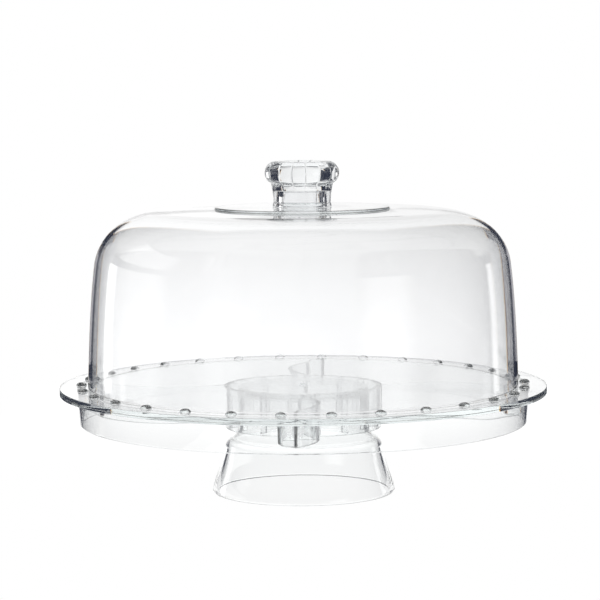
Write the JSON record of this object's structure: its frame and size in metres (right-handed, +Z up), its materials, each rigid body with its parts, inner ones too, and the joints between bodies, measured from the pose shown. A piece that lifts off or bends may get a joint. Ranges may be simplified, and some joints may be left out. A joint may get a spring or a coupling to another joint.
{
  "type": "cake stand with dome",
  "caption": "Clear acrylic cake stand: round tray with skirt and ring socket on a flared pedestal, under a lift-off dome with a fluted knob.",
  "frame": {"origin": "centre of the pedestal's foot, on the table", "axes": "+Z up along the common axis of pedestal, tray and dome; -Y is the front; one bead gap of the tray faces -Y"},
  "size_m": [0.312, 0.312, 0.2121],
  "materials": {
    "clear_dome": "clear polished acrylic",
    "clear_knob": "clear polished acrylic, thick and fluted",
    "clear_tray": "clear polished acrylic",
    "clear_pedestal": "clear polished acrylic"
  },
  "bodies": {
    "pedestal": {"pedestal_bowl": "clear_pedestal"},
    "tray": {"serving_tray": "clear_tray"},
    "dome": {"dome_shell": "clear_dome", "dome_knob": "clear_knob"}
  },
  "joints": [
    {"name": "tray_lift", "type": "slide", "parent": "pedestal", "child": "tray", "axis": [0, 0, 1], "range_m": [0, 0.03]},
    {"name": "dome_lift", "type": "slide", "parent": "tray", "child": "dome", "axis": [0, 0, 1], "range_m": [0, 0.1]}
  ]
}
